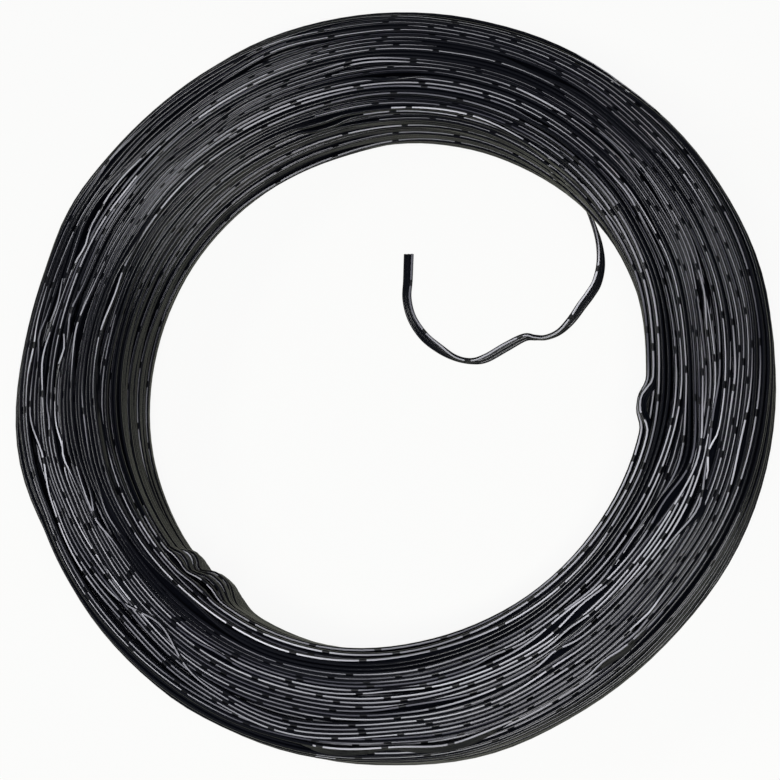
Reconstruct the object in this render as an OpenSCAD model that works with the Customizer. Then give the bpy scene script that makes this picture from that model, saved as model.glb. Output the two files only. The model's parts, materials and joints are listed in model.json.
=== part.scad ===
// Coil of flat three-core parallel wire, lying on its side face, with one free end inside the eye.
// Origin: centre of the coil on the surface it rests on. +Z is up, along the coil's axis.

/* [Wire] */
// Diameter of one insulated core
core_d = 0.82; // [0.6:0.02:1.2]
// Distance between the centres of two cores side by side
core_pitch = 0.79; // [0.55:0.01:1.15]
// Thickness of the insulation web that joins two cores
web_t = 0.3; // [0.2:0.05:0.5]
// Diameter of one stranded conductor
conductor_d = 0.3; // [0.2:0.02:0.5]

/* [Coil] */
// Outside diameter of the coil
coil_od = 170; // [140:1:240]
// Width of the ring, from the eye to the outside
ring_w = 25.5; // [15:0.5:32]
// Number of layers of wire, one above the other
layers = 12; // [6:1:16]
// Least gap between two turns side by side
turn_gap = 0.09; // [0.04:0.01:0.4]
// Radius of the ring section's soft corners
corner_r = 6; // [2:0.5:8]

/* [Free end] */
// How far the free end reaches into the lowest layer before it comes out of the inner wall
tuck = 0.5; // [0.3:0.1:0.8]
// Rings of the swept ribbon between two points of its route
steps = 2; // [1:1:3]

/* [Hidden] */
lobe_fn = 8;
turn_fn = 96;

core_r = core_d / 2;
ribbon_w = 2 * core_pitch + core_d;
coil_h = layers * ribbon_w;
eye_r = coil_od / 2 - ring_w;
mid_r = eye_r + ring_w / 2;
columns = floor((ring_w - core_d) / (core_d + turn_gap)) + 1;
column_pitch = (ring_w - core_d) / (columns - 1);

// The ring's soft corners: how many columns a layer gives up at each side.
function layer_z(row) = (row + 0.5) * ribbon_w;
function corner_depth(row) = corner_r - min(corner_r, layer_z(row), coil_h - layer_z(row));
function inset(row) = corner_r - sqrt(corner_r ^ 2 - corner_depth(row) ^ 2);
function given_up(row) = row < 0 || row >= layers ? columns : ceil(inset(row) / column_pitch - 0.25);
function column_r(column) = eye_r + core_r + column * column_pitch;
function in_layer(row, column) = column >= given_up(row) && column <= columns - 1 - given_up(row);
function on_wall(row, column) = column == given_up(row) || column == columns - 1 - given_up(row);
function lobe_shows(row, column, lobe) = in_layer(row, column) && (on_wall(row, column)
    || (lobe > 0 && !in_layer(row + 1, column)) || (lobe < 0 && row > 0 && !in_layer(row - 1, column)));

// Route of the free end, from the wall of the eye to the cut end: x, y, and the lean of the ribbon's
// flat from level, in degrees. At -90 it stands on its plain core, with the striped core on top.
foot_r = column_r(given_up(0)) - core_r;
leave_angle = 48;
free_route = [
    [(foot_r + tuck) * cos(leave_angle), (foot_r + tuck) * sin(leave_angle), -90],
    [44.4, 42.2, -88],
    [46.2, 37.4, -80],
    [47.4, 32.6, -66],
    [47.6, 27.8, -46],
    [46.6, 23.6, -30],
    [44.9, 20.8, -28],
    [42.9, 18.2, -34],
    [40.4, 14.8, -54],
    [37.6, 12.2, -78],
    [34.6, 11.1, -88],
    [32.2, 11.2, -84],
    [29.6, 11.4, -62],
    [25.2, 9.4, -42],
    [20.6, 7, -50],
    [17.2, 6.4, -78],
    [13.4, 7.4, -72],
    [9.4, 10, -32],
    [5.8, 13.2, -14],
    [3, 17.6, -22],
    [1.8, 22.4, -18],
    [2, 27.2, -8],
    [2.2, 33.4, 0],
];

// A smooth curve through the route's points, one step after another.
function blend(a, b, c, d, t) = 0.5 * (2 * b + (c - a) * t + (2 * a - 5 * b + 4 * c - d) * t ^ 2
    + (3 * b - a - 3 * c + d) * t ^ 3);
function route_at(i, t) = let (last = len(free_route) - 1) blend(
    free_route[max(i - 1, 0)], free_route[i], free_route[min(i + 1, last)], free_route[min(i + 2, last)], t);
free_path = [
    for (i = [0 : len(free_route) - 2], k = [0 : steps - 1]) route_at(i, k / steps),
    free_route[len(free_route) - 1],
];

// The ribbon rests on the surface at every lean.
function rest_z(lean) = core_pitch * abs(sin(lean)) + core_r;
function centre(i) = [free_path[i].x, free_path[i].y, rest_z(free_path[i].z)];
function heading(i) = let (d = centre(min(i + 1, len(free_path) - 1)) - centre(max(i - 1, 0))) d / norm(d);
function side(i) = let (d = cross([0, 0, 1], heading(i))) d / norm(d);
function above(i) = cross(heading(i), side(i));
function place(i, p) = let (lean = free_path[i].z) centre(i)
    + p.x * (side(i) * cos(lean) + above(i) * sin(lean))
    + p.y * (above(i) * cos(lean) - side(i) * sin(lean));

// Section of the ribbon: three lobes joined by webs, each round a conductor.
valley = [core_pitch / 2, web_t / 2];
skin = [
    [valley.x, valley.y], [0, core_r], [-valley.x, valley.y], [-core_pitch, core_r],
    [-core_pitch - core_r, 0], [-core_pitch, -core_r], [-valley.x, -valley.y], [0, -core_r],
    [valley.x, -valley.y], [core_pitch, -core_r], [core_pitch + core_r, 0], [core_pitch, core_r],
];
conductor_sides = 6;
function strand_outline(x) = [
    for (k = [0 : conductor_sides - 1]) let (a = 30 + k * 360 / conductor_sides)
        [x + conductor_d / 2 * cos(a), conductor_d / 2 * sin(a)]
];
core_x = [-core_pitch, 0, core_pitch];
section = concat(skin, strand_outline(core_x[0]), strand_outline(core_x[1]), strand_outline(core_x[2]));

// Faces of a swept outline of n points that starts at point a of each ring of m points.
function wall(rings, m, a, n) = [
    for (i = [0 : rings - 2], k = [0 : n - 1]) let (p = i * m + a + k, q = i * m + a + (k + 1) % n)
        each [[p, q, q + m], [p, q + m, p + m]]
];
function turned(faces) = [for (f = faces) [for (k = [len(f) - 1 : -1 : 0]) f[k]]];

// The cut face of the ribbon: the skin of each lobe joined to the rim of the conductor in it.
end_face = let (l = len(skin), c = l + 6, r = l + 12) [
    [2, 3, l + 1, l], [3, 4, l + 2, l + 1], [4, l + 3, l + 2], [4, 5, l + 4, l + 3], [5, 6, l + 5, l + 4],
    [6, 2, l, l + 5],
    [0, 1, c + 1, c], [1, 2, c + 2, c + 1], [2, 6, c + 3, c + 2], [6, 7, c + 4, c + 3], [7, 8, c + 5, c + 4],
    [8, 0, c, c + 5],
    [11, 0, r + 2, r + 1], [0, 8, r + 3, r + 2], [8, 9, r + 4, r + 3], [9, 10, r + 5, r + 4], [10, r, r + 5],
    [10, 11, r + 1, r],
];
function moved(faces, by) = [for (f = faces) [for (p = f) p + by]];

// Section of the ring: the turns that show keep their three lobes, and the hidden ones are fused.
module ring_section() {
    for (row = [0 : layers - 1]) union() {
        r0 = column_r(given_up(row));
        r1 = column_r(columns - 1 - given_up(row));
        z0 = row == 0 ? 0 : layer_z(row) - core_pitch - web_t / 2;
        z1 = layer_z(row) + core_pitch + web_t / 2;
        translate([r0 - web_t / 2, z0]) square([r1 - r0 + web_t, z1 - z0]);
        if (row < layers - 1) {
            held = max(given_up(row), given_up(row + 1));
            translate([column_r(held) - web_t / 2, layer_z(row)])
                square([column_r(columns - 1 - held) - column_r(held) + web_t, ribbon_w]);
        }
        for (column = [0 : columns - 1], lobe = [-1 : 1]) if (lobe_shows(row, column, lobe))
            translate([column_r(column), layer_z(row) + lobe * core_pitch]) circle(core_r, $fn = lobe_fn);
    }
}

module wire_coil() {
    color("#17181c") rotate_extrude($fn = turn_fn) ring_section();
}

module free_end() {
    rings = len(free_path);
    m = len(section);
    color("#1b1c20") polyhedron(
        points = [for (i = [0 : rings - 1], p = section) place(i, p)],
        faces = concat(
            wall(rings, m, 0, len(skin)),
            turned(wall(rings, m, len(skin), conductor_sides)),
            turned(wall(rings, m, len(skin) + 6, conductor_sides)),
            turned(wall(rings, m, len(skin) + 12, conductor_sides)),
            turned(end_face),
            moved(end_face, (rings - 1) * m)));
}

// One stranded conductor, which fills its lobe's channel from the ring to the cut end.
module conductor(x) {
    rings = len(free_path);
    outline = strand_outline(x);
    n = conductor_sides;
    color("#c9c3b8") polyhedron(
        points = [for (i = [0 : rings - 1], p = outline) place(i, p)],
        faces = concat(
            wall(rings, n, 0, n),
            [[for (k = [0 : n - 1]) n - 1 - k]],
            [[for (k = [0 : n - 1]) (rings - 1) * n + k]]));
}

module striped_core_conductor() { conductor(core_x[0]); }
module middle_core_conductor() { conductor(core_x[1]); }
module plain_core_conductor() { conductor(core_x[2]); }

wire_coil();
free_end();
striped_core_conductor();
middle_core_conductor();
plain_core_conductor();
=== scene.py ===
"""Coil of flat three-core parallel wire with one free end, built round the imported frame."""

import json
import math

import bpy
import numpy as np
from mathutils import Matrix, Vector


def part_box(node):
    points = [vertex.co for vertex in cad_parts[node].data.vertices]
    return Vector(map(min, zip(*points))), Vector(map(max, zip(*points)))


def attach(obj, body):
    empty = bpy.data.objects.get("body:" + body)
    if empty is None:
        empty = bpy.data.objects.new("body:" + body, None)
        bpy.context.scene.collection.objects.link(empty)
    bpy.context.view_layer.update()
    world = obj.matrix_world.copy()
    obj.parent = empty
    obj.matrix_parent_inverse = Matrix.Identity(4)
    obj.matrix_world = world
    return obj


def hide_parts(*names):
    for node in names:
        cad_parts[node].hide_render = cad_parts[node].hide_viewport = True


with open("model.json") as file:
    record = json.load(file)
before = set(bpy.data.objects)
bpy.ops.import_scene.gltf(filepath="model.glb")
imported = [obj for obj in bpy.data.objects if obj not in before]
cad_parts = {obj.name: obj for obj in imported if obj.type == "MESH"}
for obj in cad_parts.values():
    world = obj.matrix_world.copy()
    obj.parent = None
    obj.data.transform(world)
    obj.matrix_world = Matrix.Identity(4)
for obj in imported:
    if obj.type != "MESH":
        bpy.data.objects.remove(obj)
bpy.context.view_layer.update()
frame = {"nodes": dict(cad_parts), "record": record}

bl_info = {
    "name": "Wire coil",
    "version": (1, 0, 0),
    "blender": (4, 5, 0),
    "location": "View3D > Sidebar > Wire coil",
    "description": "Winds a coil of flat three-core wire and lays its free end in the eye",
    "category": "Add Mesh",
}

# Sizes of the wire and the coil in millimetres. The coil's outside and the middle of its ring come from the
# frame.
CORE_D = 0.82
CORE_R = CORE_D / 2
CORE_PITCH = 0.79
WEB_T = 0.3
RIBBON_W = 2 * CORE_PITCH + CORE_D
COIL_LOW, COIL_HIGH = (corner * 1000 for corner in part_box("wire_coil"))
RIM_R = (COIL_HIGH.x - COIL_LOW.x) / 2
MID_R = 1000 * frame["record"]["mounts"][0]["pos_m"][0]
EYE_R = 2 * MID_R - RIM_R
# Turns in each layer, from the lowest to the top one.
TURNS = (22, 26, 28, 28, 28, 28, 28, 28, 28, 28, 26, 22)
LAYERS = len(TURNS)
COLUMNS = max(TURNS)
COLUMN_PITCH = (RIM_R - EYE_R - CORE_D) / (COLUMNS - 1)
# Least distance between the centres of two turns side by side.
LEAST_PITCH = 0.845
# Where the layers begin and end and the free end leaves the coil, in degrees.
LEAVE_ANGLE = 48
# How far the free end reaches into the lowest layer, and how far the outer end dips under the last turn.
TUCK = 0.5
OUTER_DIP = 1.6

# The three conductors of the frame, which show in the cut end.
CONDUCTORS = ("striped_core_conductor", "middle_core_conductor", "plain_core_conductor")

# Route of the free end, as in the part's source: x, y and the lean of its flat.
FOOT_R = EYE_R + (COLUMNS - TURNS[0]) // 2 * COLUMN_PITCH
LEAVE = math.radians(LEAVE_ANGLE)
FREE_ROUTE = (
    ((FOOT_R + TUCK) * math.cos(LEAVE), (FOOT_R + TUCK) * math.sin(LEAVE), -90),
    (44.4, 42.2, -88),
    (46.2, 37.4, -80),
    (47.4, 32.6, -66),
    (47.6, 27.8, -46),
    (46.6, 23.6, -30),
    (44.9, 20.8, -28),
    (42.9, 18.2, -34),
    (40.4, 14.8, -54),
    (37.6, 12.2, -78),
    (34.6, 11.1, -88),
    (32.2, 11.2, -84),
    (29.6, 11.4, -62),
    (25.2, 9.4, -42),
    (20.6, 7, -50),
    (17.2, 6.4, -78),
    (13.4, 7.4, -72),
    (9.4, 10, -32),
    (5.8, 13.2, -14),
    (3, 17.6, -22),
    (1.8, 22.4, -18),
    (2, 27.2, -8),
    (2.2, 33.4, 0),
)

# Where the rim and the eye are wider or narrower than round: angle, reach and amount, in degrees and mm.
RIM_SHAPE = (
    (5, 14, 0.9), (-22, 11, 0.8), (62, 16, -1.4), (-76, 8, 0.7), (-105, 10, -0.6), (-145, 13, -1.8),
    (-122, 8, 0.5), (-169, 9, 1.4), (150, 5, 0.9), (163, 8, -0.3),
)
EYE_SHAPE = ((0, 9, -0.8), (-105, 25, 1.1), (-165, 18, 0.4), (150, 40, -0.6), (106, 18, -1.0))

# Turns of the top layer that ride over the others: columns from and to, angle, reach, shift towards the
# rim, lean and rise. Columns count from the eye; the rest is in degrees and mm.
RIDERS = (
    # right
    (8, 11, -21, 6, 2.2, -24, 0.7),
    (12, 12, -18, 5, 1.6, -48, 0.8),
    (16, 16, -11, 3.5, -0.5, -42, 0.3),
    (17, 17, -17, 1.4, -0.8, -55, 0.5),
    (16, 16, -26, 3.2, 1.9, -55, 0.85),
    (22, 22, -15, 4, -0.3, -40, 0.25),
    (9, 10, -27, 3.5, -0.9, -42, 0.4),
    (18, 18, -4, 3, 0.5, -45, 0.3),
    (13, 15, 6, 6, -0.8, 10, 0.2),
    # lower right
    (8, 8, -46, 5, 1.0, -40, 0.6),
    (10, 10, -53, 5, -0.8, -42, 0.5),
    (15, 15, -50, 6, -0.8, 35, 0.1),
    (16, 16, -58, 1.7, -0.7, -55, 0.5),
    (16, 16, -70, 8, 0.0, -38, 0.15),
    (21, 21, -43, 1.6, 0.6, -38, 0.4),
    (22, 22, -46.5, 1.6, 0.6, -40, 0.4),
    (23, 23, -49.5, 1.7, 0.3, -40, 0.4),
    (24, 24, -52.5, 2.0, -0.5, -34, 0.25),
    (23, 24, -79, 4, 0.5, -42, 0.4),
    (24, 24, -95, 4, 0.6, -45, 0.4),
    # bottom and lower left
    (18, 21, -104, 7, 1.2, -8, 0.35),
    (5, 5, -131, 7, -1.2, -40, 0.5),
    (19, 19, -130, 4.6, -4.0, -48, 1.0),
    (16, 21, -139, 8, -1.2, -20, 0.1),
    (9, 9, -153, 2.4, 1.4, -55, 0.9),
    (21, 21, -168, 4, -1.8, -50, 0.9),
    (14, 14, -168, 2.4, -0.9, -48, 0.7),
    (12, 12, -166, 1.6, 0.7, -50, 0.7),
    (16, 16, -173, 1.5, -0.5, -52, 0.6),
    # left
    (14, 14, 174, 1.8, -1.2, -55, 0.9),
    (17, 17, 176, 3.2, 0.9, -50, 0.8),
    (12, 12, 167, 2.4, 0.9, -52, 0.8),
    (19, 19, 166, 2.6, -0.9, -48, 0.8),
    (20, 20, 172, 1.8, 0.8, -48, 0.7),
    (22, 22, 174, 2, -0.5, -45, 0.6),
    (17, 17, 155, 1.6, -0.9, -55, 0.8),
    (17, 17, 142, 4, 0.7, -48, 0.6),
    (4, 4, 162, 4, -0.9, -48, 0.6),
    (5, 5, 151, 3.5, -0.8, -45, 0.5),
    (18, 20, 148, 6, 1.2, 5, 0.4),
    # upper left and top
    (10, 12, 125, 5, -1.1, 5, 0.3),
    (11, 12, 91, 5, 0.7, -45, 0.6),
    (20, 22, 106, 5, 1.0, -15, 0.4),
)

# Stretches that lie with the striped core down: layer, column and angle where each begins, and how far it
# goes on clockwise, in degrees. Layers count from 1, the lowest.
TURNED_OVER = (
    (12, 4, 30, 600),
    (12, 24, 45, 75),
    (12, 23, -100, 60),
    (12, 24, 168, 50),
    (12, 13, 140, 95),
    (12, 17, 80, 78),
    (12, 20, 160, 42),
    (12, 14, 104, 50),
    (12, 16, 78, 38),
    (11, 1, -150, 123),
    (11, 2, 165, 60),
    (10, 0, -152, 114),
    (9, 0, -155, 115),
    (12, 9, 118, 150),
    (12, 22, 162, 50),
    (11, 25, 70, 105),
    (11, 26, 80, 130),
    (11, 25, -95, 170),
    (11, 26, -100, 150),
    (11, 24, -90, 100),
    (11, 26, 45, 68),
    (10, 27, 45, 140),
    (10, 26, -100, 200),
)

# Slack turns that stand away from the inner wall: layer, angle, reach, how far and lean, in degrees and
# mm. They bulge with a broad top.
SLACK_BLUNT = 3.0
SLACK_TURNS = (
    (11, -10.3, 2.9, 2.5, -35), (10, -10, 2.9, 1.6, -35),
    (11, -130, 3.0, 0.5, 0), (10, -130, 3.1, 1.2, -8),
    (9, -130, 3.2, 2.1, 4), (8, -130, 3.3, 2.6, 0), (7, -130.4, 3.4, 3.2, -16), (6, -130.4, 3.5, 3.1, 0),
    (5, -130.2, 3.6, 2.7, 0), (4, -130.2, 3.8, 2.1, 0), (3, -130.2, 4, 1.4, 0), (2, -130.2, 4.2, 0.7, 0),
    (10, -138.4, 2.0, 0.6, 0),
    (9, -138.4, 2.0, 1.3, 6), (8, -138.4, 2.0, 2.0, -20), (7, -138.5, 2.0, 2.3, 6),
    (6, -138.5, 2.1, 2.2, 0), (5, -138.5, 2.2, 1.7, 0), (4, -138.5, 2.3, 1.2, 0), (3, -138.5, 2.4, 0.6, 0),
    (11, 103, 3.5, 0.6, -35), (10, 102, 3.5, 1.0, -35),
)

# How the turns round the ring's corners, from the top layer down: a rise and an outward lean about a
# column, each as amount, column from the nearer wall and spread, and a lift of the whole layer.
CORNERS = (
    ((-0.55, 3, 1.3), (26, 3, 1.6), 0.0),
    ((0.5, 2, 0.8), (34, 1, 1.3), -0.1),
    ((0.45, 0, 0.7), (26, 0, 1.0), 0.0),
)

# How finely a layer is modelled, from the top layer down, the last row for all the others: steps a turn,
# how many columns count as near its walls, and of how many steps one is kept near the walls and between.
EVERY_COLUMN = 99
DETAIL = (
    (260, EVERY_COLUMN, 1, 1),
    (300, 3.6, 2, 4),
    (360, 2.6, 3, 12),
)

# Random strays of the top layer: how many stretches are turned over and how many turns ride up, and where
# the riding turns gather, as angle and spread in degrees.
STRAY_SEED = 5
STRAY_TURNED_OVER = 20
STRAY_RIDERS = 34
STRAY_PLACES = ((175, 28), (-35, 35), (60, 30))

# Each layer's random seed is this much above the last one's.
SEED_STEP = 17
# Riders side by side are this many degrees apart, and one that leans more than this shows its line.
RIDER_STAGGER = 0.6
LINE_SHOWS_LEAN = -30
# How far the printer's pace drifts, in metres.
PRINT_DRIFT = 0.007


# ---------------------------------------------------------------- small tools


def linear(value):
    """One sRGB channel, 0 to 1, as linear light."""
    return value / 12.92 if value <= 0.04045 else ((value + 0.055) / 1.055) ** 2.4


def colour(text):
    """An sRGB hex colour as linear RGBA."""
    return tuple(linear(int(text[i : i + 2], 16) / 255) for i in (1, 3, 5)) + (1.0,)


def add_node(tree, kind, settings=None, inputs=None):
    """Adds a node, sets its properties, and sets or links its inputs."""
    node = tree.nodes.new(kind)
    for name, value in (settings or {}).items():
        setattr(node, name, value)
    for name, value in (inputs or {}).items():
        if isinstance(value, bpy.types.NodeSocket):
            tree.links.new(value, node.inputs[name])
        else:
            node.inputs[name].default_value = value
    return node


def new_material(name):
    """An empty node material with its output node."""
    material = bpy.data.materials.new(name)
    material.use_nodes = True
    material.node_tree.nodes.clear()
    output = add_node(material.node_tree, "ShaderNodeOutputMaterial")
    return material, material.node_tree, output


def along(values, spread):
    """Values smoothed along a wire; spread is in steps."""
    frequency = np.fft.rfftfreq(len(values))
    kept = np.exp(-2 * (math.pi * frequency * spread) ** 2)
    return np.fft.irfft(np.fft.rfft(values) * kept, len(values))


def wander(rng, count, steps, reach, neighbours=0.0):
    """A smooth random value along a wire, with a spread of one. reach is in degrees of a turn, and
    neighbours says over how many turns on each side it moves with the turns beside it."""
    values = along(rng.standard_normal(count), reach / 360 * steps)
    if neighbours:
        mixed = np.zeros(count)
        for shift in range(-4, 5):
            mixed += math.exp(-0.5 * (shift / neighbours) ** 2) * np.roll(values, shift * steps)
        values = mixed
    return (values - values.mean()) / values.std()


def about(angles, middle, reach):
    """1 at an angle round the coil, falling smoothly to 0 on both sides."""
    away = (np.degrees(angles) - middle + 180) % 360 - 180
    return np.exp(-0.5 * (away / reach) ** 2)


def swell(angles, places):
    """The sum of smooth swells at given angles round the coil, in mm."""
    total = np.zeros(len(angles))
    for middle, reach, amount in places:
        total += amount * about(angles, middle, reach)
    return total


def hump(values, amount, middle, spread):
    """A smooth hump of some amount about a middle value."""
    return amount * np.exp(-((values - middle) / spread) ** 2)


# ---------------------------------------------------------------- the wound turns


def given_up(layer):
    """How many columns a layer gives up at each side, for the ring's soft corners."""
    return (COLUMNS - TURNS[layer]) // 2


class Turns:
    """The turns of one layer, from the eye to the rim. Each point along the wire has an angle, the radius
    and height of its top core, its lean, and whether the striped core is up. near is its column counted
    from the ring's nearer wall, and outer is 1 in the outer half and -1 in the inner one."""

    def __init__(self, layer, steps, seed):
        turns = TURNS[layer]
        self.layer, self.steps, self.count = layer, steps, turns * steps + 1
        self.rng = np.random.default_rng(seed + SEED_STEP * layer)
        self.outwards = layer % 2 == 0
        self.way = 1 if self.outwards else -1
        self.angle = np.radians(LEAVE_ANGLE) + self.way * 2 * math.pi * np.arange(self.count) / steps
        self.radius = self.laid_radius()
        self.height = np.full(self.count, (layer + 0.5) * RIBBON_W + CORE_PITCH)
        self.lean = np.zeros(self.count)
        self.striped = np.ones(self.count, bool)
        self.slack = np.zeros(self.count, bool)
        self.turn = np.arange(self.count) / steps * (turns - 1) / turns
        self.near = given_up(layer) + np.minimum(self.turn, turns - 1 - self.turn)
        self.outer = np.where(self.turn > turns / 2, 1.0, -1.0)
        # the lowest layer lies flat on the surface
        self.loose = min(1.0, layer / 2)

    def laid_radius(self):
        """The radius of every point, with uneven gaps between the turns."""
        # the wire's stiffness evens the gaps out over this many degrees
        smoothing = 1.3
        turns, steps = TURNS[self.layer], self.steps
        pitch = COLUMN_PITCH * (turns - 1) / turns
        fraction = np.arange(steps) / steps
        ring = self.angle[:steps]
        margin = CORE_R + given_up(self.layer) * COLUMN_PITCH
        first = EYE_R + swell(ring, EYE_SHAPE) + margin + pitch * fraction
        last = RIM_R + swell(ring, RIM_SHAPE) - margin - pitch * (1 - fraction)
        # the gaps are least uneven at the upper left
        uneven = (1 - 0.75 * self.sector(126, 30))[:-1]
        share = np.exp(uneven * (wander(self.rng, turns * steps, steps, 13, 0.8)
                                 + 0.4 * wander(self.rng, turns * steps, steps, 5)))
        share = share.reshape(turns, steps)[:-1]
        spare = last - first - (turns - 1) * LEAST_PITCH
        gaps = LEAST_PITCH + np.maximum(spare, 0) * share / share.sum(0)
        radius = np.vstack([first, first + np.cumsum(gaps, axis=0)]).ravel()
        radius = np.append(radius, radius[-1] + pitch / steps)
        padded = np.concatenate([radius[:1].repeat(steps), radius, radius[-1:].repeat(steps)])
        return along(padded, smoothing / 360 * steps)[steps:-steps]

    def index(self, column, angle):
        """Where the wire passes an angle nearest to a column, counted from the eye."""
        part = (self.way * (angle - LEAVE_ANGLE) % 360) / 360
        turns = TURNS[self.layer]
        turn = round((column - given_up(self.layer)) * turns / (turns - 1) - part)
        return (min(max(turn, 0), turns - 1) + part) * self.steps

    def bump(self, column, angle, reach, blunt=2.0):
        """1 at a place along the wire, falling smoothly to 0 within about twice reach degrees. A higher
        blunt gives a broader top and steeper ends."""
        away = (np.arange(self.count) - self.index(column, angle)) / (reach / 360 * self.steps)
        return np.exp(-0.5 * np.abs(away) ** blunt)

    def sector(self, angle, reach):
        """How near each point is to an angle round the coil: 1 there, falling smoothly to 0."""
        return about(self.angle, angle, reach)

    def drift(self, reach, neighbours=0.0):
        """A smooth random value for every point, as wander gives it."""
        return wander(self.rng, self.count, self.steps, reach, neighbours)

    def settle(self):
        """The ring's soft corners, and the small unevenness of turns laid by machine."""
        depth = LAYERS - 1 - self.layer
        if depth < len(CORNERS):
            rise, lean, lift = CORNERS[depth]
            self.height += hump(self.near, *rise) + lift
            self.lean += self.outer * hump(self.near, *lean)
        # the layers under the top one are less uneven, one after another
        self.sway(max(0.0, 1 - 0.35 * depth))
        on_wall = hump(self.near, 1, given_up(self.layer), 0.6)
        self.roughen_walls(on_wall)
        self.lean_back(on_wall)

    def sway(self, top):
        """Lets the turns tip, rise and shift a little. top is 1 for the top layer and less below it."""
        tip_amount, most_tip = 2 + 8.5 * top, 4.5
        rise_alone, rise_together = 0.04 + 0.08 * top, 0.05 + 0.13 * top
        jitter, waviness = 0.02, 0.1 * top
        # the turns lie most unevenly at the left, and a little more so at the right than elsewhere
        rough = 0.75 + 0.9 * self.sector(176, 32) + 0.3 * self.sector(-25, 25)
        tip = 0.3 * self.drift(18) + self.drift(26, 1.8)
        self.lean += tip_amount * rough * (tip + 0.08 * tip**3).clip(-most_tip, most_tip)
        lift = rise_alone * self.drift(9) + rise_together * self.drift(25, 1.6)
        self.height += lift * rough * self.loose
        self.radius += jitter * rough * self.drift(4)
        self.radius += waviness * rough * self.drift(5, 2)

    def roughen_walls(self, on_wall):
        """Lets the outermost and innermost turns of the layer stray a little from the wall."""
        slow_shift, quick_shift, tip, rise = 0.1, 0.12, 6, 0.1
        self.radius += on_wall * self.outer * (slow_shift * self.drift(12) + quick_shift * self.drift(6))
        self.lean += on_wall * (tip * self.drift(16) + tip * self.drift(8))
        self.height += on_wall * rise * self.drift(14) * self.loose

    def lean_back(self, on_wall):
        """Lets the inner wall lean back at the upper left and the left, each layer a step behind the one
        below it."""
        upper_step, left_step, waviness, tip = 0.1, 0.15, 0.12, 24
        layers_up = max(0, self.layer - 2)
        back = self.sector(128, 32) * (self.outer < 0)
        self.radius += back * upper_step * layers_up * np.exp(-self.near / 8)
        self.radius += back * on_wall * waviness * self.drift(20)
        # at the left all the turns give way a little towards the rim
        inwards = 1 - self.turn / self.turn[-1]
        self.radius += left_step * layers_up * self.sector(182, 22) * inwards
        # at the upper left the turns on the wall tip towards the eye
        self.lean -= back * tip * hump(self.near, 1, 0, 1.5)

    def join(self):
        """Where a layer ends, the wire goes on into the next one: both lead to the same place."""
        # the wire makes for that place over this many degrees
        reach = 22
        ramp = reach / 360 * self.steps
        step = np.arange(self.count)
        for end, wall, shape, side in ((0, EYE_R, EYE_SHAPE, -1), (-1, RIM_R, RIM_SHAPE, 1)):
            goes_up = (side > 0) == self.outwards
            other = min(max(self.layer + (1 if goes_up else -1), 0), LAYERS - 1)
            given = (given_up(self.layer) + given_up(other)) / 2
            place = wall + swell(np.radians([LEAVE_ANGLE]), shape)[0]
            away = np.clip((step if side < 0 else self.count - 1 - step) / ramp, 0, 1)
            close = 0.5 + 0.5 * np.cos(math.pi * away)
            height = (self.layer + 0.5) * RIBBON_W + CORE_PITCH
            self.radius += close * (place - side * (CORE_R + given * COLUMN_PITCH) - self.radius[end])
            self.height += close * (height - self.height[end])
            self.lean *= 1 - close
            if goes_up:
                climb = RIBBON_W / 2 if self.layer < LAYERS - 1 else -OUTER_DIP
                self.height += close * climb
            elif self.layer > 0:
                self.height += close * (-RIBBON_W / 2)

    def ride(self, column, angle, reach, shift, lean, rise, blunt=2.0):
        """A turn that rides up over its neighbours for a stretch, and shows more of its flat."""
        bump = self.bump(column, angle, reach, blunt)
        # the lean and the rise reach a little further than the shift
        wide = self.bump(column, angle, reach * 1.3)
        self.radius += shift * bump
        self.lean = self.lean * (1 - wide) + lean * wide
        if lean < LINE_SHOWS_LEAN:
            self.striped |= wide > 0.25
        self.height += rise * wide

    def hang(self, angle, reach, away, lean):
        """A slack turn that stands away from the inner wall for a stretch."""
        self.ride(0, angle, reach, -away, lean, 0.0, SLACK_BLUNT)
        self.slack |= self.bump(0, angle, reach, SLACK_BLUNT) > 0.01

    def turn_over(self, column, angle, length):
        """A stretch that lies with the striped core down, from a place clockwise for a length in degrees.
        Its line rolls out of sight at both ends."""
        roll_reach, roll_lean = 1.8, 25
        first = self.index(column, angle)
        last = first - self.way * length / 360 * self.steps
        first, last = max(min(first, last), 0), min(max(first, last), self.count - 1)
        step = np.arange(self.count)
        self.striped &= (step < first) | (step > last)
        roll = roll_reach / 360 * self.steps
        free = np.clip(self.near - given_up(self.layer) - 0.5, 0, 1)
        for end in (first, last):
            self.lean += roll_lean * free * np.exp(-0.5 * ((step - end) / roll) ** 2)

    def kept(self, shown, near_step, far_step):
        """The points to model: many within some turns of the two walls, fewer of those hidden between, and
        all where slack turns stand away from the inner wall."""
        step = np.arange(self.count)
        pace = np.where(self.near - given_up(self.layer) < shown, near_step, far_step)
        return (step % pace == 0) | self.slack | (step == self.count - 1)

    def points(self):
        """Centre of the top core, the way its flat stands and the way its side faces, for each point."""
        out = np.stack([np.cos(self.angle), np.sin(self.angle), np.zeros(self.count)], 1)
        top = out * self.radius[:, None]
        top[:, 2] = self.height
        lean = np.radians(self.lean)[:, None]
        if not self.outwards:
            top, lean = top[::-1], lean[::-1]
        heading = np.gradient(top, axis=0)
        heading /= np.linalg.norm(heading, axis=1)[:, None]
        up = np.array([0, 0, 1.0]) - heading * heading[:, 2:3]
        up /= np.linalg.norm(up, axis=1)[:, None]
        side = np.cross(heading, up)
        return top, up * np.cos(lean) + side * np.sin(lean), side * np.cos(lean) - up * np.sin(lean)


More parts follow.
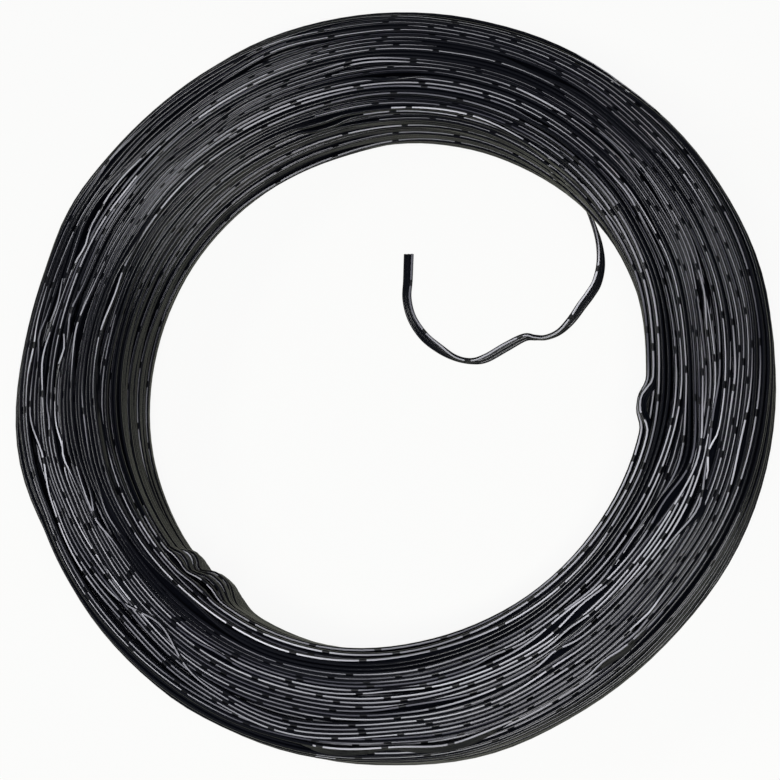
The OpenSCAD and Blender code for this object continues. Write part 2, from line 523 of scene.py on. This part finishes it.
def stray(turns):
    """Turns of the top layer that ride up, kink or lie over their neighbours."""
    rng = np.random.default_rng(STRAY_SEED)
    for _ in range(STRAY_TURNED_OVER):
        column, angle, length = rng.uniform(5.5, 25), rng.normal(138, 26), rng.uniform(8, 28)
        turns.turn_over(column, angle, length)
    for low, high, angle, reach, shift, lean, rise in RIDERS:
        for column in range(low, high + 1):
            turns.ride(column, angle + RIDER_STAGGER * (column - low), reach, shift, lean, rise)
    for _ in range(STRAY_RIDERS):
        angle = rng.normal(*STRAY_PLACES[rng.integers(len(STRAY_PLACES))])
        column, reach, shift = rng.uniform(5, 23), rng.uniform(2.2, 5), rng.uniform(-0.9, 0.9)
        lean, rise = rng.uniform(-55, 15), rng.uniform(0.1, 0.5)
        turns.ride(column, angle, reach, shift, lean, rise)


def wound(layer, steps, seed):
    """The turns of one layer as they lie in the coil."""
    turns = Turns(layer, steps, seed)
    turns.settle()
    if layer == LAYERS - 1:
        stray(turns)
    for number, angle, reach, away, lean in SLACK_TURNS:
        if number == layer + 1:
            turns.hang(angle, reach, away, lean)
    for number, column, angle, length in TURNED_OVER:
        if number == layer + 1:
            turns.turn_over(column, angle, length)
    if layer < LAYERS - len(CORNERS):
        # the outer wall shows plain cores from the right round to the bottom and beyond, and each layer's
        # stretch begins and ends at a place of its own
        begins = 45 - 7 * (layer * 3 % 5)
        length = 150 + 17 * (layer * 4 % 7)
        turns.turn_over(COLUMNS - 1, begins, length)
    turns.join()
    return turns


# ---------------------------------------------------------------- meshes


# Edges of the printed line, in degrees round the top core from its top towards the rim, and on the free
# end from its edge towards the flat.
LINE_FROM, LINE_TO = 18, 69
FREE_LINE_FROM, FREE_LINE_TO = 36, 96


def arc(middle, angles, side=1):
    """Points of one core, at angles from its top towards the rim, for a core that far below the top one."""
    turned = [math.radians(angle) for angle in angles]
    return [(-middle + CORE_R * math.cos(angle), side * CORE_R * math.sin(angle)) for angle in turned]


def printed_edges(angles, low, high):
    """Which edges of a core's outline carry the printed line."""
    return [k for k in range(len(angles) - 1) if angles[k] >= low and angles[k + 1] <= high]


def outline(fine):
    """Section of the ribbon as height over the top core's centre and distance towards the rim, and which of
    its edges carry the line. The fine one, for the top layer, has more points on the top core and fewer on
    the others."""
    if fine:
        head = (-125, -80, -40, -10, LINE_FROM, 45, LINE_TO, 128)
        middle, foot = (90,), (90, 180, 270)
    else:
        head = (-115, -62, -16, LINE_FROM, 45, LINE_TO, 122)
        middle, foot = (55, 90, 125), (55, 100, 180, 260, 305)
    web = WEB_T / 2
    points = arc(0, head) + [(-CORE_PITCH / 2, web)] + arc(CORE_PITCH, middle) + [(-1.5 * CORE_PITCH, web)]
    points += arc(2 * CORE_PITCH, foot) + [(-1.5 * CORE_PITCH, -web)] + arc(CORE_PITCH, middle[::-1], -1)
    points.append((-CORE_PITCH / 2, -web))
    return np.array(points), printed_edges(head, LINE_FROM, LINE_TO)


def free_outline():
    """Section of the free end: three round lobes and the webs between them, from its striped edge."""
    head = range(-132, 133, 12)
    web = WEB_T / 2
    points = arc(-CORE_PITCH, head) + [(CORE_PITCH / 2, web)] + arc(0, range(42, 139, 12))
    points += [(-CORE_PITCH / 2, web)] + arc(CORE_PITCH, range(48, 313, 12)) + [(-CORE_PITCH / 2, -web)]
    points += arc(0, range(138, 41, -12), -1) + [(CORE_PITCH / 2, -web)]
    return np.array(points), printed_edges(head, FREE_LINE_FROM, FREE_LINE_TO)


def new_piece(name, verts, quads, caps, uvs, slots, materials):
    """A smooth piece from its points, its quads with their UV map and material slots, and two flat caps."""
    sides = len(caps[0])
    loops = np.concatenate([quads.ravel(), *caps])
    cap_starts = [len(quads) * 4, len(quads) * 4 + sides]
    starts = np.concatenate([np.arange(len(quads)) * 4, cap_starts])
    mesh = bpy.data.meshes.new(name)
    mesh.vertices.add(len(verts))
    mesh.vertices.foreach_set("co", verts.astype(np.float32).ravel())
    mesh.loops.add(len(loops))
    mesh.loops.foreach_set("vertex_index", loops.astype(np.int32))
    mesh.polygons.add(len(starts))
    mesh.polygons.foreach_set("loop_start", starts.astype(np.int32))
    mesh.polygons.foreach_set("material_index", np.concatenate([slots, [0, 0]]).astype(np.int32))
    mesh.polygons.foreach_set("use_smooth", np.concatenate([np.ones(len(quads), bool), [False, False]]))
    uv_map = mesh.uv_layers.new(name="along_wire")
    uvs = np.concatenate([uvs, np.zeros((2 * sides, 2))])
    uv_map.data.foreach_set("uv", uvs.astype(np.float32).ravel())
    for material in materials:
        mesh.materials.append(material)
    mesh.update(calc_edges=True)
    mesh.validate()
    piece = bpy.data.objects.new(name, mesh)
    bpy.context.scene.collection.objects.link(piece)
    return piece


def swept(name, top, stand, face, section, printed, materials, striped=None, run=None):
    """A closed tube of one section along a wire. Its UV map runs in metres along the wire and 0 to 1 round
    it. striped says which points carry the line, and run gives each point's length along the wire."""
    count, sides = len(top), len(section)
    rings = top[:, None, :] + section[None, :, 0:1] * stand[:, None, :]
    rings = rings + section[None, :, 1:2] * face[:, None, :]
    verts = rings.reshape(-1, 3) / 1000
    run = distances(top) if run is None else run
    ring, edge = np.meshgrid(np.arange(count - 1), np.arange(sides), indexing="ij")
    after = (edge + 1) % sides
    near, far = ring * sides, (ring + 1) * sides
    quads = np.stack([near + edge, far + edge, far + after, near + after], -1).reshape(-1, 4)
    u = np.stack([run[ring], run[ring + 1], run[ring + 1], run[ring]], -1).ravel()
    v = np.stack([edge, edge, edge + 1, edge + 1], -1).ravel() / sides
    slots = np.isin(edge, printed)
    if striped is not None:
        slots &= striped[ring] & striped[ring + 1]
    caps = np.arange(sides), (count - 1) * sides + np.arange(sides)[::-1]
    return new_piece(name, verts, quads, caps, np.stack([u, v], 1), slots.ravel(), materials)


def distances(line):
    """How far along a line in millimetres each of its points is, in metres."""
    return np.concatenate([[0], np.cumsum(np.linalg.norm(np.diff(line, axis=0), axis=1))]) / 1000


# ---------------------------------------------------------------- materials


def insulation_material(settings):
    """Flexible PVC insulation, extruded: black with a faint blue cast, satin, with soft streaks of gloss
    along the wire from the die."""
    material, tree, output = new_material("extruded_pvc_black")
    uv = add_node(tree, "ShaderNodeUVMap", {"uv_map": "along_wire"})
    # a streak is about 40 mm long and a sixth of the way round
    streak_length, streaks_round = 0.04, 6
    stretch = add_node(tree, "ShaderNodeMapping", inputs={
        "Vector": uv.outputs["UV"], "Scale": (1 / streak_length, streaks_round, 1)})
    streaks = add_node(tree, "ShaderNodeTexNoise", inputs={
        "Vector": stretch.outputs["Vector"], "Scale": 1.0, "Detail": 3.0})
    gloss = add_node(tree, "ShaderNodeMapRange", inputs={
        "Value": streaks.outputs["Fac"], "From Min": 0.3, "From Max": 0.7,
        "To Min": settings.gloss_roughness - 0.05, "To Max": settings.gloss_roughness + 0.07})
    tint = add_node(tree, "ShaderNodeMix", {"data_type": "RGBA"}, {
        "Factor": streaks.outputs["Fac"],
        "A": (*settings.insulation_colour, 1), "B": (*settings.insulation_bloom, 1)})
    shader = add_node(tree, "ShaderNodeBsdfPrincipled", inputs={
        "Base Color": tint.outputs["Result"], "Roughness": gloss.outputs["Result"], "IOR": 1.53,
        "Specular IOR Level": 0.38})
    tree.links.new(shader.outputs["BSDF"], output.inputs["Surface"])
    return material


def line_material(settings):
    """Marking ink printed on the top core: a dull off-white line with a short gap after each dash. Its full
    colour is bright enough to stand in for the ink's glints too: partly print, partly painted highlight.
    """
    material, tree, output = new_material("printed_ink_and_glint")
    uv = add_node(tree, "ShaderNodeUVMap", {"uv_map": "along_wire"})
    parts = add_node(tree, "ShaderNodeSeparateXYZ", inputs={"Vector": uv.outputs["UV"]})
    pitch = settings.dash_length + settings.dash_gap
    place = add_node(tree, "ShaderNodeMath", {"operation": "MODULO"}, {0: parts.outputs["X"], 1: pitch})
    inked = add_node(tree, "ShaderNodeMath", {"operation": "LESS_THAN"}, {
        0: place.outputs["Value"], 1: settings.dash_length})
    # the ink is thinner in stretches of about 70 mm, 14 to a metre, and even across the line
    patches_per_metre, patches_round = 14, 0.5
    stretch = add_node(tree, "ShaderNodeMapping", inputs={
        "Vector": uv.outputs["UV"], "Scale": (patches_per_metre, patches_round, 1)})
    patches = add_node(tree, "ShaderNodeTexNoise", inputs={
        "Vector": stretch.outputs["Vector"], "Scale": 1.0, "Detail": 2.0})
    thin = add_node(tree, "ShaderNodeMapRange", inputs={
        "Value": patches.outputs["Fac"], "From Min": 0.32, "From Max": 0.61, "To Min": 0.0, "To Max": 1.0})
    # the full ink is near white, which also paints in the glints of the glossy ink: partly print, partly
    # painted highlight
    ink = add_node(tree, "ShaderNodeMix", {"data_type": "RGBA"}, {
        "Factor": thin.outputs["Result"],
        "A": (*settings.line_and_glint_colour, 1), "B": (*settings.line_thin_colour, 1)})
    face = add_node(tree, "ShaderNodeMix", {"data_type": "RGBA"}, {
        "Factor": inked.outputs["Value"],
        "A": (*settings.insulation_colour, 1), "B": ink.outputs["Result"]})
    shader = add_node(tree, "ShaderNodeBsdfPrincipled", inputs={
        "Base Color": face.outputs["Result"], "Roughness": 0.48, "IOR": 1.5})
    tree.links.new(shader.outputs["BSDF"], output.inputs["Surface"])
    return material


def conductor_material():
    """Tinned copper strands, drawn: pale warm grey metal, some strands brighter than others."""
    material, tree, output = new_material("tinned_copper_strands")
    place = add_node(tree, "ShaderNodeTexCoord")
    # patches of about 0.1 mm, the size of one strand
    strands = add_node(tree, "ShaderNodeTexNoise", inputs={
        "Vector": place.outputs["Object"], "Scale": 9000.0, "Detail": 2.0})
    shine = add_node(tree, "ShaderNodeMix", {"data_type": "RGBA"}, {
        "Factor": strands.outputs["Fac"], "A": colour("#9c9186"), "B": colour("#e2ddd4")})
    shader = add_node(tree, "ShaderNodeBsdfPrincipled", inputs={
        "Base Color": shine.outputs["Result"], "Metallic": 1.0, "Roughness": 0.34})
    tree.links.new(shader.outputs["BSDF"], output.inputs["Surface"])
    return material


def paper_material(settings):
    """Matt white paper: the camera sees it near white, and the coil keeps its shadow on it."""
    material, tree, output = new_material("matt_white_paper")
    path = add_node(tree, "ShaderNodeLightPath")
    place = add_node(tree, "ShaderNodeTexCoord")
    # the faint unevenness of paper laid on a table, in patches of about 60 mm
    cloud = add_node(tree, "ShaderNodeTexNoise", inputs={
        "Vector": place.outputs["Object"], "Scale": 16.0, "Detail": 2.0})
    tone = add_node(tree, "ShaderNodeMix", {"data_type": "RGBA"}, {
        "Factor": cloud.outputs["Fac"], "A": (*settings.floor_colour, 1), "B": colour("#d4d6c6")})
    matt = add_node(tree, "ShaderNodeBsdfDiffuse", inputs={"Color": tone.outputs["Result"]})
    glow = add_node(tree, "ShaderNodeEmission", inputs={"Color": colour("#ffffff"), "Strength": 1.0})
    share = add_node(tree, "ShaderNodeMath", {"operation": "MULTIPLY"}, {
        0: path.outputs["Is Camera Ray"], 1: settings.floor_glow})
    both = add_node(tree, "ShaderNodeMixShader", inputs={
        0: share.outputs["Value"], 1: matt.outputs["BSDF"], 2: glow.outputs["Emission"]})
    tree.links.new(both.outputs["Shader"], output.inputs["Surface"])
    return material


def shared(name, maker):
    """A material made once and shared by every piece that wears it."""
    return bpy.data.materials.get(name) or maker()


def wire_materials(settings):
    """The two materials of the wire: the insulation, and the line printed on it."""
    return [
        shared("extruded_pvc_black", lambda: insulation_material(settings)),
        shared("printed_ink_and_glint", lambda: line_material(settings)),
    ]


# ---------------------------------------------------------------- settings


def colour_setting(name, description, text):
    """A colour that the user can change, with an sRGB hex colour to start from."""
    return bpy.props.FloatVectorProperty(
        name=name, description=description, subtype="COLOR", size=3, min=0, max=1, default=colour(text)[:3])


class WireSettings(bpy.types.PropertyGroup):
    """Colours and gloss of the wire, its printed line, and the seed of the winding"""

    insulation_colour: colour_setting("Insulation", "Colour of the PVC insulation", "#08090e")
    insulation_bloom: colour_setting(
        "Insulation streaks", "Colour of the paler streaks along the insulation", "#10121a")
    # the line's colour, near white: partly the ink's own colour, partly a painted highlight for its glints
    line_and_glint_colour: colour_setting("Line", "Colour of the printed line", "#e4e4ec")
    line_thin_colour: colour_setting("Thin line", "Colour of the line where the ink is thin", "#52525c")
    gloss_roughness: bpy.props.FloatProperty(
        name="Roughness", description="Roughness of the insulation", subtype="FACTOR",
        min=0.1, max=0.9, default=0.2)
    dash_length: bpy.props.FloatProperty(
        name="Dash", description="Length of a printed dash", unit="LENGTH",
        min=0.002, max=0.1, default=0.0133)
    dash_gap: bpy.props.FloatProperty(
        name="Gap", description="Gap between two printed dashes", unit="LENGTH",
        min=0.0005, max=0.05, default=0.0016)
    seed: bpy.props.IntProperty(name="Seed", description="Seed of the winding's unevenness", default=30)


class StageSettings(bpy.types.PropertyGroup):
    """Colour of the floor and strength of the lights"""

    floor_colour: colour_setting("Floor", "Colour of the floor", "#dcddcd")
    floor_glow: bpy.props.FloatProperty(
        name="Floor whiteness", description="How far the camera sees the floor as plain white",
        subtype="FACTOR", min=0, max=1, default=0.92)
    key_power: bpy.props.FloatProperty(
        name="Key", description="Power of the soft lamp beside the camera", unit="POWER",
        min=0, max=100, default=2.8)
    fill_power: bpy.props.FloatProperty(
        name="Fill", description="Power of the smaller lamp at the left", unit="POWER",
        min=0, max=100, default=0.8)
    sky_strength: bpy.props.FloatProperty(
        name="Sky", description="Strength of the even light all round", min=0, max=2, default=0.07)


# ---------------------------------------------------------------- operators


def picture_axes(back):
    """The picture's right and up for a camera that looks away from a direction, with +Y upwards."""
    right = (-back).cross(Vector((0, 1, 0))).normalized()
    return right, back.cross(right)


class CameraOperator(bpy.types.Operator):
    """Adds the camera, which looks down on the coil from over its lower right"""

    bl_idname = "coil.add_camera"
    bl_label = "Add camera"

    def execute(self, context):
        tilt, azimuth, distance = math.radians(18), math.radians(-45), 0.4
        # the camera aims this far to the right of the coil's middle and below it, in metres
        rightwards, downwards = 0.0008, 0.00235
        sensor_width, focal_length = 36, 81.74
        middle = Vector((0, 0, COIL_HIGH.z / 2000))
        back = Vector((
            math.sin(tilt) * math.cos(azimuth), math.sin(tilt) * math.sin(azimuth), math.cos(tilt)))
        place = middle + distance * back
        right, up = picture_axes(back)
        back = (place - (middle + rightwards * right - downwards * up)).normalized()
        right, up = picture_axes(back)
        data = bpy.data.cameras.new("camera")
        data.sensor_width, data.lens = sensor_width, focal_length
        data.clip_start, data.clip_end = 0.02, 20
        camera = bpy.data.objects.new("camera", data)
        camera.matrix_world = Matrix((
            (right.x, up.x, back.x, place.x), (right.y, up.y, back.y, place.y),
            (right.z, up.z, back.z, place.z), (0, 0, 0, 1)))
        context.scene.collection.objects.link(camera)
        context.scene.camera = camera
        return {"FINISHED"}


class WindOperator(bpy.types.Operator):
    """Winds the coil: twelve layers of flat wire on edge, each one length of wire in a flat spiral"""

    bl_idname = "coil.wind_layers"
    bl_label = "Wind layers"

    def execute(self, context):
        settings = context.scene.wire_settings
        materials = wire_materials(settings)
        for layer in range(LAYERS):
            depth = LAYERS - 1 - layer
            steps, shown, near_step, far_step = DETAIL[min(depth, len(DETAIL) - 1)]
            # the underside of the lowest layer is open to view
            shown = EVERY_COLUMN if layer == 0 else shown
            turns = wound(layer, steps, settings.seed)
            top, stand, face = turns.points()
            # the printer's pace drifts by a few millimetres from turn to turn
            run = distances(top) + PRINT_DRIFT * turns.drift(150)
            kept, striped = turns.kept(shown, near_step, far_step), turns.striped
            if not turns.outwards:
                kept, striped = kept[::-1], striped[::-1]
            top, stand, face = top[kept], stand[kept], face[kept]
            section, printed = outline(depth == 0)
            name = f"layer_{layer + 1:02d}"
            piece = swept(name, top, stand, face, section, printed, materials, striped[kept], run[kept])
            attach(piece, "root")
            if layer == 0:
                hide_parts("wire_coil")
        return {"FINISHED"}


def smooth_route(route, fine):
    """A smooth curve through the points of a route, with a number of steps from one to the next."""
    ends = np.vstack([route[:1], route, route[-1:]])
    line = []
    for before, start, end, after in zip(ends, ends[1:], ends[2:], ends[3:]):
        for t in np.arange(fine) / fine:
            line.append(0.5 * (2 * start + (end - before) * t
                               + (2 * before - 5 * start + 4 * end - after) * t**2
                               + (3 * start - before - 3 * end + after) * t**3))
    return np.array([*line, route[-1]])


class FreeEndOperator(bpy.types.Operator):
    """Lays the free end of the wire on the surface inside the eye"""

    bl_idname = "coil.lay_free_end"
    bl_label = "Lay free end"

    def execute(self, context):
        # where along the print the free end begins, in metres, and how much closer its dashes are
        print_start, print_pace = 0.0055, 1.11
        # the ribbon stops a hair before its conductors, which show in the cut face
        end_gap = 0.03
        line = smooth_route(np.array(FREE_ROUTE), fine=10)
        lean = np.radians(line[:, 2])
        centre = np.stack([line[:, 0], line[:, 1], CORE_PITCH * np.abs(np.sin(lean)) + CORE_R], 1)
        heading = np.gradient(centre, axis=0)
        heading /= np.linalg.norm(heading, axis=1)[:, None]
        side = np.cross([0, 0, 1.0], heading)
        side /= np.linalg.norm(side, axis=1)[:, None]
        above = np.cross(heading, side)
        cosine, sine = np.cos(lean)[:, None], np.sin(lean)[:, None]
        width, thick = side * cosine + above * sine, above * cosine - side * sine
        centre[-1] -= end_gap * heading[-1]
        section, printed = free_outline()
        run = print_start + print_pace * distances(centre)
        materials = wire_materials(context.scene.wire_settings)
        piece = swept("free_end_ribbon", centre, -width, thick, section, printed, materials, run=run)
        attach(piece, "root")
        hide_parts("free_end")
        return {"FINISHED"}


class ConductorOperator(bpy.types.Operator):
    """Gives the three conductors in the cut end their tinned copper"""

    bl_idname = "coil.finish_conductors"
    bl_label = "Finish conductors"

    def execute(self, context):
        material = shared("tinned_copper_strands", conductor_material)
        for name in CONDUCTORS:
            for slot in frame["nodes"][name].material_slots:
                slot.material = material
        return {"FINISHED"}


class StageOperator(bpy.types.Operator):
    """Adds the floor, the lamps and the even light all round"""

    bl_idname = "coil.add_stage"
    bl_label = "Add stage"

    def execute(self, context):
        settings = context.scene.stage_settings
        # a broad floor, a hair below the coil
        floor_size, floor_drop = 6, 0.0002
        bpy.ops.object.select_all(action="DESELECT")
        bpy.ops.mesh.primitive_plane_add(size=floor_size, location=(0, 0, -floor_drop))
        floor = context.object
        floor.name = "paper_floor"
        bpy.ops.object.transform_apply(location=True, rotation=False, scale=False)
        floor.data.materials.append(paper_material(settings))
        # name, place, width and depth in metres, and power
        lamps = (
            ("key_lamp", (0.1, -0.175, 0.57), 0.42, 0.12, settings.key_power),
            ("side_lamp", (-0.42, 0.06, 0.5), 0.2, 0.12, settings.fill_power),
        )
        for name, place, width, depth, power in lamps:
            data = bpy.data.lights.new(name, "AREA")
            data.shape, data.size, data.size_y, data.energy = "ELLIPSE", width, depth, power
            lamp = bpy.data.objects.new(name, data)
            lamp.location = place
            lamp.rotation_euler = (-Vector(place)).to_track_quat("-Z", "Y").to_euler()
            context.scene.collection.objects.link(lamp)
        world = bpy.data.worlds.new("even_light")
        context.scene.world = world
        world.use_nodes = True
        world.node_tree.nodes.clear()
        sky = add_node(world.node_tree, "ShaderNodeBackground", inputs={
            "Color": colour("#f2f5fa"), "Strength": settings.sky_strength})
        output = add_node(world.node_tree, "ShaderNodeOutputWorld")
        world.node_tree.links.new(sky.outputs["Background"], output.inputs["Surface"])
        context.scene.view_settings.view_transform = "Standard"
        return {"FINISHED"}


class CoilPanel(bpy.types.Panel):
    """Lists the settings and the steps that build the coil"""

    bl_idname = "VIEW3D_PT_wire_coil"
    bl_label = "Wire coil"
    bl_space_type = "VIEW_3D"
    bl_region_type = "UI"
    bl_category = "Wire coil"

    def draw(self, context):
        for settings in (context.scene.wire_settings, context.scene.stage_settings):
            for name in settings.__annotations__:
                self.layout.prop(settings, name)
        for operator in OPERATORS:
            self.layout.operator(operator.bl_idname)


OPERATORS = (CameraOperator, WindOperator, FreeEndOperator, ConductorOperator, StageOperator)
CLASSES = (WireSettings, StageSettings, *OPERATORS, CoilPanel)


def register():
    """Makes the settings, the operators and the panel known."""
    for cls in CLASSES:
        bpy.utils.register_class(cls)
    bpy.types.Scene.wire_settings = bpy.props.PointerProperty(type=WireSettings)
    bpy.types.Scene.stage_settings = bpy.props.PointerProperty(type=StageSettings)


def unregister():
    """Takes them away again."""
    del bpy.types.Scene.stage_settings
    del bpy.types.Scene.wire_settings
    for cls in reversed(CLASSES):
        bpy.utils.unregister_class(cls)


def main():
    """Builds the camera, the wire and the stage."""
    register()
    bpy.ops.coil.add_camera()
    bpy.ops.coil.wind_layers()
    bpy.ops.coil.lay_free_end()
    bpy.ops.coil.finish_conductors()
    bpy.ops.coil.add_stage()


if __name__ == "__main__":
    main()
